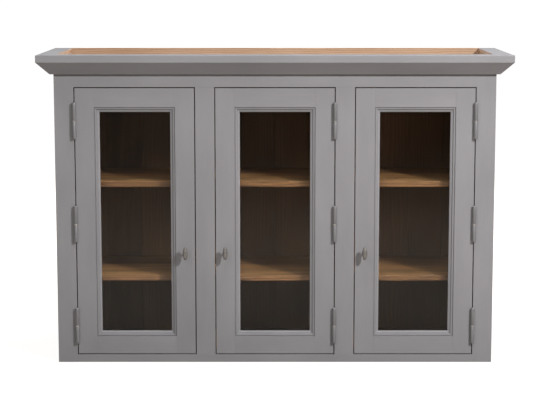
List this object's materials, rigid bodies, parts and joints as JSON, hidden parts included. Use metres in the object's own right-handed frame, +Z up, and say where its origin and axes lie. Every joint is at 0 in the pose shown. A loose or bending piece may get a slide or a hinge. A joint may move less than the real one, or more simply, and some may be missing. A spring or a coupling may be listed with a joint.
{
  "type": "glazed hutch",
  "caption": "Painted hutch top with inset glazed doors on lift-off barrel hinges, olive knobs, inner shelves and a bevelled crown round an open well.",
  "frame": {"origin": "under the middle of the whole outline, on the surface it stands on", "axes": "+X along the width to the viewer's right, +Y from the doors to the back, +Z up"},
  "size_m": [1.4, 0.4, 0.93],
  "materials": {
    "grey_paint": "satin grey paint",
    "raw_pine": "bare planed pine",
    "interior_wood": "waxed pine",
    "shelf_wood": "waxed pine",
    "clear_glass": "clear float",
    "pewter": "aged pewter",
    "hinge_steel": "dull patinated steel",
    "washer_brass": "turned",
    "zinc_steel": "zinc plated",
    "catch_plastic": "moulded brown"
  },
  "bodies": {
    "carcass": {"back_boards": "interior_wood", "bottom_board": "interior_wood", "bottom_face_rail": "grey_paint", "catch_bodies": "catch_plastic", "crown_back_rail": "raw_pine", "crown_front": "grey_paint", "crown_left_return": "grey_paint", "crown_right_return": "grey_paint", "hinge_frame_leaves": "hinge_steel", "hinge_pins": "hinge_steel", "hinge_washers": "washer_brass", "left_face_stile": "grey_paint", "left_lower_shelf": "shelf_wood", "left_mullion": "grey_paint", "left_partition": "interior_wood", "left_side_panel": "grey_paint", "left_upper_shelf": "shelf_wood", "middle_lower_shelf": "shelf_wood", "middle_upper_shelf": "shelf_wood", "right_face_stile": "grey_paint", "right_lower_shelf": "shelf_wood", "right_mullion": "grey_paint", "right_partition": "interior_wood", "right_side_panel": "grey_paint", "right_upper_shelf": "shelf_wood", "shelf_pins": "zinc_steel", "top_board": "raw_pine", "top_face_rail": "grey_paint"},
    "left_door": {"left_door_bottom_rail": "grey_paint", "left_door_glass": "clear_glass", "left_door_glazing_beads": "grey_paint", "left_door_hinge_leaves": "hinge_steel", "left_door_hinge_stile": "grey_paint", "left_door_knob": "pewter", "left_door_lock_stile": "grey_paint", "left_door_moulding": "grey_paint", "left_door_strike_plate": "zinc_steel", "left_door_top_rail": "grey_paint"},
    "middle_door": {"middle_door_bottom_rail": "grey_paint", "middle_door_glass": "clear_glass", "middle_door_glazing_beads": "grey_paint", "middle_door_hinge_leaves": "hinge_steel", "middle_door_hinge_stile": "grey_paint", "middle_door_knob": "pewter", "middle_door_lock_stile": "grey_paint", "middle_door_moulding": "grey_paint", "middle_door_strike_plate": "zinc_steel", "middle_door_top_rail": "grey_paint"},
    "right_door": {"right_door_bottom_rail": "grey_paint", "right_door_glass": "clear_glass", "right_door_glazing_beads": "grey_paint", "right_door_hinge_leaves": "hinge_steel", "right_door_hinge_stile": "grey_paint", "right_door_knob": "pewter", "right_door_lock_stile": "grey_paint", "right_door_moulding": "grey_paint", "right_door_strike_plate": "zinc_steel", "right_door_top_rail": "grey_paint"}
  },
  "joints": [
    {"name": "left_door_swing", "type": "hinge", "parent": "carcass", "child": "left_door", "pos_m": [-0.5945, -0.1601, 0.424], "axis": [0, 0, -1], "range_deg": [0, 175]},
    {"name": "middle_door_swing", "type": "hinge", "parent": "carcass", "child": "middle_door", "pos_m": [0.17817, -0.1601, 0.424], "axis": [0, 0, 1], "range_deg": [0, 150]},
    {"name": "right_door_swing", "type": "hinge", "parent": "carcass", "child": "right_door", "pos_m": [0.5945, -0.1601, 0.424], "axis": [0, 0, 1], "range_deg": [0, 175]}
  ]
}
